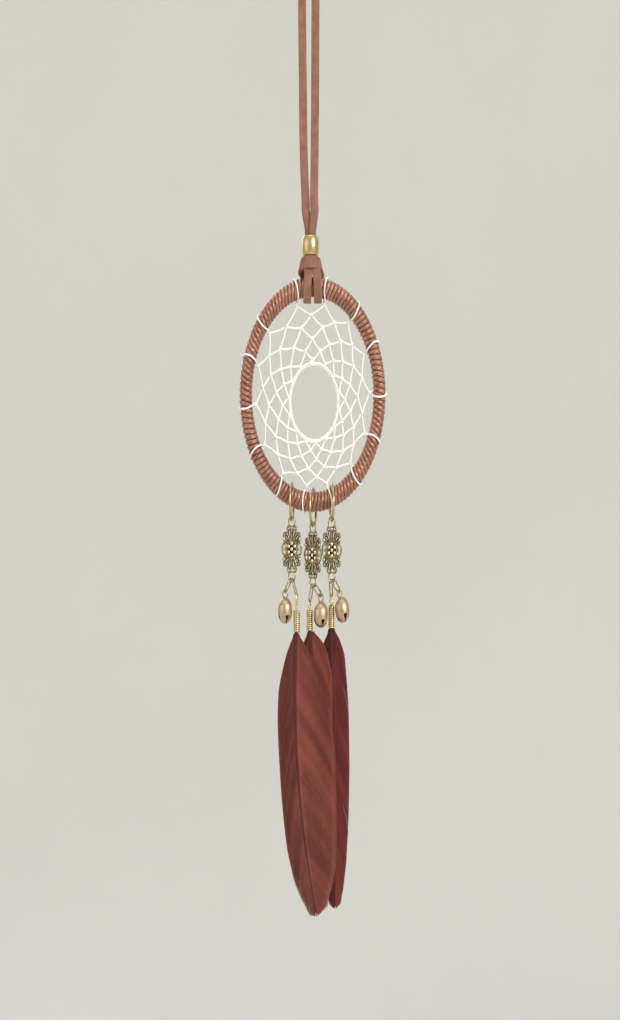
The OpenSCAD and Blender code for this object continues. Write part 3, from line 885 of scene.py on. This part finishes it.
class Plate:
    """Draws filigree in a connector's own plane, in millimetres: x to the right, z up, out to the front."""

    def __init__(self, node):
        self.middle, self.long, self.wide, self.thin, _ = axes_of(node)
        self.right = self.wide * np.sign(self.wide[0] or 1)
        self.shape = Shape()

    def place(self, points):
        x, out, z = np.moveaxis(np.asarray(points, float) * MM, -1, 0)[..., None]
        return self.middle + x * self.right + out * self.thin + z * self.long

    def loop(self, centre, half_wide, half_high, turn, wire, relief, point=0.0, out=0.0, thick=WIRE_T):
        """A closed loop of wire, drawn to a point at its lower end."""
        t = full_turn(48)
        x = half_wide * np.cos(t) * (1 - point * (1 - np.sin(t)) / 2)
        z = half_high * np.sin(t)
        c, s = math.cos(turn), math.sin(turn)
        flat = np.stack([centre[0] + c * x - s * z, np.full_like(t, out), centre[1] + s * x + c * z], -1)
        self.wire(flat, wire, relief, True, thick)

    def wire(self, flat, wire, relief, closed=False, thick=WIRE_T):
        path = self.place(flat)
        side, up = upright(path, self.thin, closed)
        section = round_section(1, 12)
        self.shape.sweep(path, side, up, section * np.array([wire / 2, thick / 2]) * MM, closed)
        self.mark(relief + 0.35 * np.tile(section[:, 1], len(path)))

    def bead(self, x, z, radius, out=0.32, relief=0.8, flat=0.75):
        centre = self.place([x, out, z])
        self.shape.ball(centre, radius * MM, self.thin, flat)
        height = (self.shape.points[-1] - centre) @ self.thin / (radius * MM * flat)
        self.mark(relief * np.clip(0.55 + 0.5 * height, 0.1, 1.1))

    def mark(self, relief):
        """Says how far each of the last shell's points stands out, for the antique finish."""
        self.shape.values.setdefault("relief", []).append(relief)


def connector(side):
    """Antique filigree: an eye at each end, teardrop loops, side loops, and a flower of seven beads."""
    node = f"connector_{side}"
    plate = Plate(node)
    for end in (-1, 1):
        plate.loop((0, end * EYE_Z), EYE_R, EYE_R, 0, EYE_WIRE, 0.35, thick=EYE_WIRE)
        plate.bead(0, end * 4.95, 0.42, 0.2)
        for way in (-1, 1):
            for lean, x, z, wide, high in TEARDROPS:
                turn = -way * end * math.radians(lean) + (0 if end > 0 else math.pi)
                plate.loop((way * x, end * z), wide, high, turn, 0.56, 0.3, 0.42)
                plate.loop((way * x, end * z), wide * 0.45, high * 0.6, turn, 0.34, 0.12, 0.5, -0.05)
            plate.bead(way * 3.02, end * 2.35, 0.5, 0.2)
            plate.bead(way * 0.62, end * 2.3, 0.34, 0.25, 0.6)
            plate.bead(way * 1.62, end * 4.15, 0.3, 0.15, 0.7)
            scroll = [
                (way * (1.2 + 1.8 * t), 0, end * (1.2 + 0.95 * t - 0.45 * math.sin(math.pi * t)))
                for t in np.linspace(0, 1, 12)
            ]
            plate.wire(scroll, 0.6, 0.25)
    for way in (-1, 1):
        plate.loop((way * 2.7, 0), 0.85, 1.4, 0, 0.6, 0.32)
        plate.bead(way * 2.7, 0, 0.38, 0.1, 0.75)
    plate.loop((0, 0), 2.05, 2.05, 0, 0.6, 0.2, out=-0.08)
    plate.bead(0, 0, 1.75, -0.2, 0.05, 0.22)
    plate.bead(0, 0, 0.56, 0.42, 0.95)
    for i in range(6):
        turn = math.radians(60 * i + 30)
        plate.bead(1.32 * math.cos(turn), 1.32 * math.sin(turn), 0.54, 0.34, 0.95)
    return plate.shape.build(f"filigree_{node}", ANTIQUE, node, "connector", node)


for side in SIDES:
    connector(side)


# ---- bells

BELL_D = 5.3 * MM
BELL_H = 6.2 * MM
BELL_WALL = 0.35 * MM
BELL_LOOP_R = 0.95 * MM
BELL_LOOP_WIRE = 0.5 * MM
# From the middle of a small ring's wire to the middle of the wire of the loop that hangs on it
HOOK_LIFT = 0.58 * MM
# From there to the middle of the bell
BELL_DROP = 1.7 * MM + BELL_H / 2
# The turns of the two slots, in degrees, and the right half of a slot's outline, in millimetres
BELL_TURNS = (20, 110)
SLOT = ((0.2, -4.5), (0.21, -2.3), (0.45, -1.85), (0.66, -1.4), (0.64, -1.1), (0.42, -0.9), (0.12, -0.98))


def egg_mesh(name, radius, height):
    """A closed, slightly long ball about the origin."""
    shape = Shape()
    turn = np.linspace(0.004, math.pi - 0.004, 48)
    band = (height - 2 * radius) / 2
    z = -radius * np.cos(turn)
    z = z + band * np.tanh(3 * z / radius)
    path = np.column_stack([0 * z, 0 * z, z])
    shape.wire(path, radius * np.sin(turn), (1, 0, 0), count=72)
    return add_object(name, shape.mesh(name))


def bell_cutter(name, turn):
    """A slot through the bottom of the bell, with a heart-shaped hole at each of its ends."""
    shape = Shape()
    along = np.array([math.cos(turn), math.sin(turn), 0])
    across = np.cross(UP, along)
    section = MM * np.array([*SLOT, *((-x, z) for x, z in SLOT[::-1])])
    shape.sweep(np.array([-BELL_D * along, BELL_D * along]), -across, UP, section[::-1])
    return add_object(name, shape.mesh(name))


def bell_shell_mesh():
    """A hollow bell about the origin, cut once and shared by the three bells."""
    body = egg_mesh("bell_outside", BELL_D / 2, BELL_H)
    tools = [egg_mesh("bell_inside", BELL_D / 2 - BELL_WALL, BELL_H - 2 * BELL_WALL)]
    tools += [bell_cutter(f"bell_slot_{turn}", math.radians(turn)) for turn in BELL_TURNS]
    for tool in tools:
        cut = body.modifiers.new(tool.name, "BOOLEAN")
        cut.object, cut.operation, cut.solver = tool, "DIFFERENCE", "EXACT"
    bpy.context.view_layer.update()
    evaluated = body.evaluated_get(bpy.context.evaluated_depsgraph_get())
    mesh = bpy.data.meshes.new_from_object(evaluated)
    for made in (body, *tools):
        bpy.data.objects.remove(made)
    return mesh


def bell(side, shell):
    """The bell's shell, and the wire loop that it hangs by."""
    row = joints[f"bell_{side}_turn"]
    hook = np.array(row["pos_m"])
    axis = unit(np.array(row["axis"], float))
    right = unit(np.cross(-FRONT, axis))
    ahead = np.cross(axis, right)
    body = np.array([v.co for v in shell.vertices], float)
    crown = hook + axis * HOOK_LIFT
    placed = crown - axis * BELL_DROP + body @ np.array([right, ahead, axis])
    mesh = shell.copy()
    mesh.name = f"jingle_bell_{side}"
    mesh.vertices.foreach_set("co", placed.astype(np.float32).ravel())
    mesh.materials.clear()
    link_thin = axes_of(f"bell_ring_{side}")[3]
    wide = unit(np.cross(axis, np.cross(link_thin, axis)))
    path = ring_path(crown - axis * BELL_LOOP_R, axis, wide, BELL_LOOP_R, BELL_LOOP_R, 40, False)
    loop = Shape()
    loop.wire(path, BELL_LOOP_WIRE / 2, FRONT, closed=True, count=12)
    finish_piece(mesh, f"jingle_bell_{side}", BELL, f"bell_{side}", "bell", f"bell_{side}")
    loop.build(f"bell_loop_{side}", SMALL_RING, f"bell_{side}", "bell")


bell_shell = bell_shell_mesh()
for side in SIDES:
    bell(side, bell_shell)


# ---- feathers

COIL_R = 1.05 * MM
COIL_WIRE = 0.46 * MM
COIL_LEN = 5.6 * MM
COIL_TURNS = 11
COIL_LOOP_W = 2.2 * MM
QUILL_IN_COIL = 3 * MM
SHAFT_R = 0.7 * MM
SHAFT_TIP_R = 0.2 * MM

# Each feather's bend and tip, as (x, z) in millimetres from the middle of the hoop, and rows of
# (part of the vane's length, width to the left, width to the right), all as in the CAD model
FEATHER_LINES = {
    "left": ((-9, -88), (1.7, -121.4)),
    "middle": ((1.5, -82), (3.2, -116)),
    "right": ((8.4, -86), (8.4, -120.1)),
}
FEATHER_STATIONS = {
    "left": (
        (0.01, 1, 1.4), (0.05, 2.4, 4.2), (0.1, 4, 7.2), (0.2, 6.2, 11.4), (0.3, 6.7, 13.9),
        (0.45, 6.7, 14.4), (0.6, 6.9, 13.6), (0.75, 6.9, 12), (0.86, 6, 10), (0.93, 4.4, 7.4),
        (0.975, 2.4, 4), (1, 0.1, 0.1),
    ),
    "middle": (
        (0.01, 1.2, 1.4), (0.05, 3, 4.6), (0.1, 5, 6.2), (0.2, 8, 7.4), (0.3, 9.6, 7), (0.5, 10, 6),
        (0.7, 9, 5.2), (0.85, 6.6, 4.2), (0.95, 3, 2.2), (1, 0.1, 0.1),
    ),
    "right": (
        (0.01, 1.4, 1.2), (0.05, 2.8, 3.4), (0.1, 5, 4.8), (0.2, 8, 5.4), (0.3, 9.4, 5.9), (0.5, 10, 5.9),
        (0.7, 8.6, 5.3), (0.85, 6.4, 4.3), (0.95, 2.8, 3), (1, 0.1, 0.1),
    ),
}
# How far the edges of the left and right vanes lie behind the shaft, in millimetres
CAMBER = {"left": (0.9, 0.8), "middle": (0.5, 0.7), "right": (0.3, 1.6)}
# Where the right vane is split, as parts of the vane's length, half of a split's width, and its reach
SPLITS = {"left": (0.83,), "middle": (0.42,), "right": (0.3, 0.72)}
SPLIT_HALF = 0.3 * MM
SPLIT_REACH = 0.035
# The barbs' slant from the shaft, in degrees, in the left and right vanes
BARB_ANGLE = {"left": (20, 36), "middle": (34, 26), "right": (34, 24)}
BARBS = 220
BARB_T = 0.075 * MM
# Half of a barb's width as a part of the gap to the next one, and its limits
BARB_COVER = 0.62
BARB_HALF_MIN = 0.09 * MM
BARB_HALF_MAX = 0.75 * MM
BARB_RAGGED = 0.05 * MM
BARB_RIPPLE = 0.08 * MM
OUTLINE_STEPS = 401
OUTLINE_SOFT = 23
# Each feather's left vane, right vane and edge colours: the right vane's is lighter as painted light and the
# left vane's darker as painted shade; the right feather's left vane is darkest, with the painted shadow of
# the front feather on it
FEATHER_LOOKS = {
    "left": feather_look("front_feather", (0.15, 0.04, 0.028), (0.175, 0.04, 0.027), (0.32, 0.1, 0.068)),
    "middle": feather_look("middle_feather", (0.125, 0.03, 0.022), (0.2, 0.047, 0.033), (0.36, 0.11, 0.075)),
    "right": feather_look("right_feather", (0.075, 0.014, 0.012), (0.145, 0.024, 0.02), (0.24, 0.06, 0.05)),
}
QUILLS = quill_look("quill", (0.1, 0.022, 0.018), (0.045, 0.01, 0.01))


class Feather:
    """A feather's shaft curve, and the outline of its vanes, in the frame."""

    def __init__(self, side):
        low, high = box_of(f"feather_coil_{side}")
        x, y = (low[:2] + high[:2]) / 2
        self.side = side
        self.base = np.array([x, y, low[2] + QUILL_IN_COIL])
        self.bend, self.tip = (
            np.array([HOOP[0] + at_x * MM, y, HOOP[2] + at_z * MM]) for at_x, at_z in FEATHER_LINES[side]
        )
        self.length = np.linalg.norm(self.tip - self.base)
        self.start = QUILL_IN_COIL / self.length + 0.003
        rows = np.array(FEATHER_STATIONS[side])
        at = np.linspace(0, 1, OUTLINE_STEPS)
        self.at = self.start + (1 - self.start) * at
        soft = np.hanning(OUTLINE_SOFT)
        last = OUTLINE_SOFT + 1
        self.widths = []
        for column in (1, 2):
            width = np.interp(at, rows[:, 0], rows[:, column])
            width = np.convolve(np.pad(width, OUTLINE_SOFT // 2, "edge"), soft / soft.sum(), "valid")
            tip = [width[-last], width[-last] * 0.7, 0.5]
            width[-last:] = np.interp(at[-last:], [at[-last], 0.985, 1], tip)
            self.widths.append(width * MM)

    def shaft(self, t):
        return bezier(self.base, self.bend, self.tip, t[:, None])

    def ahead(self, t):
        t = t[:, None]
        return unit((1 - t) * (self.bend - self.base) + t * (self.tip - self.bend))

    def barbs(self, vane):
        """The barbs of one vane, 0 left or 1 right, as an array of curves."""
        way = 2 * vane - 1
        # The barbs' tips lie evenly along the vane's edge
        ends = np.linspace(self.start + 0.004, 0.999, 2 * OUTLINE_STEPS - 2)
        width = np.interp(ends, self.at, self.widths[vane])
        edge = np.hypot(np.gradient(ends) * self.length, np.gradient(width)).cumsum()
        ends = np.interp(np.linspace(edge[0], edge[-1], BARBS), edge, ends)
        width = np.interp(ends, self.at, self.widths[vane])
        out = way * np.cross(self.ahead(ends), FRONT)
        out = out * np.sign(out[:, :1] * way)
        tips = self.shaft(ends) + width[:, None] * out
        lead = width / math.tan(math.radians(BARB_ANGLE[self.side][vane])) / self.length
        roots = np.maximum.accumulate(np.maximum(ends - lead, self.start - 0.01))
        feet = self.shaft(roots)
        s = np.linspace(0, 1, 13)[None, :, None]
        middle = (feet + tips) / 2
        middle = (middle + 0.1 * np.linalg.norm(tips - feet, axis=1)[:, None] * out)[:, None]
        curves = bezier(feet[:, None], middle, tips[:, None], s)
        ahead = self.ahead(ends)[:, None]
        if vane == 1:
            for split in SPLITS[self.side]:
                away = (ends - self.start) / (1 - self.start) - split
                push = np.sign(away) * np.exp(-np.abs(away) / SPLIT_REACH)
                curves = curves + SPLIT_HALF * push[:, None, None] * s**2 * ahead
        ragged = RANDOM.normal(0, BARB_RAGGED, BARBS)[:, None, None]
        curves = curves + ragged * s**3 * ahead
        out_part = width[:, None, None] * s / self.widths[vane].max()
        ripple = BARB_RIPPLE * np.sin(ends * 41 + vane)[:, None, None] * s
        curves[..., 1:2] += CAMBER[self.side][vane] * MM * out_part**1.7 + ripple
        return curves


def vanes(feather):
    """Two rows of flat barbs that overlap a little, so that they lie as one sheet."""
    shape = Shape()
    for vane in (0, 1):
        curves = feather.barbs(vane)
        tone = np.convolve(RANDOM.normal(0.5, 0.5, BARBS + 8), np.ones(9) / 9, "valid")
        tone = np.clip(0.5 + (tone - 0.5) * 1.6 + RANDOM.normal(0, 0.08, BARBS), 0, 1)
        gaps = np.gradient(curves, axis=0)
        for k in range(BARBS):
            path = curves[k]
            half = BARB_COVER * np.linalg.norm(square_to(ahead_of(path), gaps[k]), axis=1)
            half = np.clip(half, BARB_HALF_MIN, BARB_HALF_MAX) * np.linspace(1, 0.8, len(path))
            half[-1] *= 0.45
            side, up = upright(path, FRONT)
            section = np.array([(1, 0), (0, BARB_T), (-1, 0), (0, -BARB_T)])
            section = section[None] * np.stack([half, np.ones(len(path))], -1)[:, None]
            across = np.linspace(0, 1, len(path))
            shape.sweep(path, side, up, section, across=across, tone=tone[k], vane=float(vane))
    name, look = feather.side, FEATHER_LOOKS[feather.side]
    node = f"feather_vane_{name}"
    return shape.build(f"feather_barbs_{name}", look, f"feather_{name}", f"vane_{name}", node)


def shaft(feather):
    """The quill and shaft, with the groove that runs down its front."""
    t = np.linspace(0, 1, 60)
    path = feather.shaft(t)
    side, up = upright(path, FRONT)
    turn = full_turn(16)
    groove = 1 - 0.45 * np.exp(-(((turn - math.pi / 2) / 0.38) ** 2))
    section = np.column_stack([np.cos(turn) * (0.6 + 0.4 * groove), np.sin(turn) * groove])
    radius = SHAFT_R * 0.9 + (SHAFT_TIP_R - SHAFT_R * 0.9) * t
    shape = Shape()
    shape.sweep(path, side, up, np.multiply.outer(radius, section))
    name = feather.side
    node = f"feather_shaft_{name}"
    return shape.build(f"feather_quill_{name}", QUILLS, f"feather_{name}", "shaft", node)


def coil(side):
    """The spring coil on the quill, its last turn bent up into a loop."""
    node = f"feather_coil_{side}"
    low, high = box_of(node)
    x, y = (low[:2] + high[:2]) / 2
    crown = np.array(joints[f"feather_{side}_swing"]["pos_m"])
    flat = axes_of(f"feather_link_{side}")[2]
    flat = unit(np.array([flat[0], flat[1], 0])) * np.sign(flat[0] or 1)
    top = low[2] + COIL_LEN
    turn = np.linspace(0, 2 * math.pi * COIL_TURNS, COIL_TURNS * 28)
    phase = math.atan2(flat[1], flat[0]) - turn[-1] - math.pi / 2
    z = low[2] + COIL_WIRE / 2 + (COIL_LEN - COIL_WIRE) * turn / turn[-1]
    helix = np.column_stack([x + COIL_R * np.cos(turn + phase), y + COIL_R * np.sin(turn + phase), z])
    half = (COIL_LOOP_W - COIL_WIRE) / 2
    height = crown[2] - top
    rise = [
        (1.0, 0.1), (1.0, 0.45), (0.95, 0.72), (0.7, 0.92), (0.25, 1.0), (-0.25, 1.0), (-0.7, 0.92),
        (-0.95, 0.72), (-1.0, 0.45), (-0.9, 0.12), (-0.55, -0.02),
    ]
    loop = [np.array([x, y, top]) + across * half * flat + up * height * UP for across, up in rise]
    path = np.vstack([helix[:-10], smooth_path(np.vstack([helix[-8:-6], loop]), 6)])
    shape = Shape()
    shape.wire(path, COIL_WIRE / 2, UP, count=10)
    # Painted shade for the grooves between the turns: 1 at the middle of the wire's section, falling to 0 at
    # its top and bottom where the next turn lies; the loop at the top gets none
    level = (shape.points[-1].reshape(len(path), -1, 3) - path[:, None])[..., 2] / (COIL_WIRE / 2)
    groove_shading = 1 - level**2
    groove_shading[len(helix) - 10 :] = 1
    shape.values["groove_shading"] = [groove_shading.ravel()]
    return shape.build(f"spring_coil_{side}", COIL, f"feather_{side}", "coil", node)


for side in SIDES:
    feather = Feather(side)
    vanes(feather)
    shaft(feather)
    coil(side)


# ---- CAD nodes that show, stage, lights


def paint(node, look):
    """Gives a CAD node's own mesh a material."""
    obj = frame["nodes"][node]
    if not obj.material_slots:
        obj.data.materials.append(look)
    for material_slot in obj.material_slots:
        material_slot.material = look


paint("hoop_core", STEEL)
for side in SIDES:
    paint(f"bell_pellet_{side}", IRON)


def make_stage():
    """A pale floor that rises all round into a pale wall, so that no horizon shows from any side."""
    floor_z = cad_box[0][2] - 0.35
    flat_r, bend_r, wall = 1.2, 0.5, 0.9
    profile = [(0.001, 0.0), (flat_r, 0.0)]
    for a in np.linspace(0, math.pi / 2, 16)[1:]:
        profile.append((flat_r + bend_r * math.sin(a), bend_r * (1 - math.cos(a))))
    profile.append((flat_r + bend_r, bend_r + wall))
    turn = full_turn(96)
    points = [(r * math.cos(a), r * math.sin(a), floor_z + z) for r, z in profile for a in turn]
    mesh = bpy.data.meshes.new("floor")
    mesh.from_pydata(points, [], faces_between(len(profile), len(turn)).tolist())
    mesh.shade_smooth()
    look = Look("pale_floor", 0.9)
    look.colour(look.ramp(look.noise(0.2, 3), (0.3, (0.7, 0.688, 0.645)), (0.7, (0.72, 0.708, 0.665))))
    mesh.materials.append(look.material)
    floor = add_object("floor", mesh)


def make_lamp(name, place, power, size, colour=(1, 1, 1)):
    data = bpy.data.lights.new(name, "AREA")
    data.shape = "DISK"
    data.size = size
    data.energy = power
    data.color = colour
    lamp = add_object(name, data)
    target = np.array([0, 0, VIEW_CENTRE[1]])
    lamp.location = place
    towards = Vector(tuple(target - np.array(place)))
    lamp.rotation_mode = "QUATERNION"
    lamp.rotation_quaternion = towards.to_track_quat("-Z", "Y")
    lamp.visible_camera = False


def make_lights():
    make_lamp("window", (0.8, -0.95, 0.3), 11.0, 0.5, (1.0, 0.985, 0.96))
    make_lamp("fill", (-1.0, -0.7, 0.1), 2.5, 0.9)
    make_lamp("top", (0.0, -0.2, 1.4), 7.0, 1.4)
    make_lamp("behind", (-0.5, 1.0, 0.4), 3.0, 0.9)
    world = bpy.data.worlds.new("world")
    world.use_nodes = True
    world.node_tree.nodes["Background"].inputs["Color"].default_value = (0.95, 0.97, 1, 1)
    world.node_tree.nodes["Background"].inputs["Strength"].default_value = 0.75
    bpy.context.scene.world = world
    bpy.context.scene.view_settings.view_transform = "Standard"


make_stage()
make_lights()
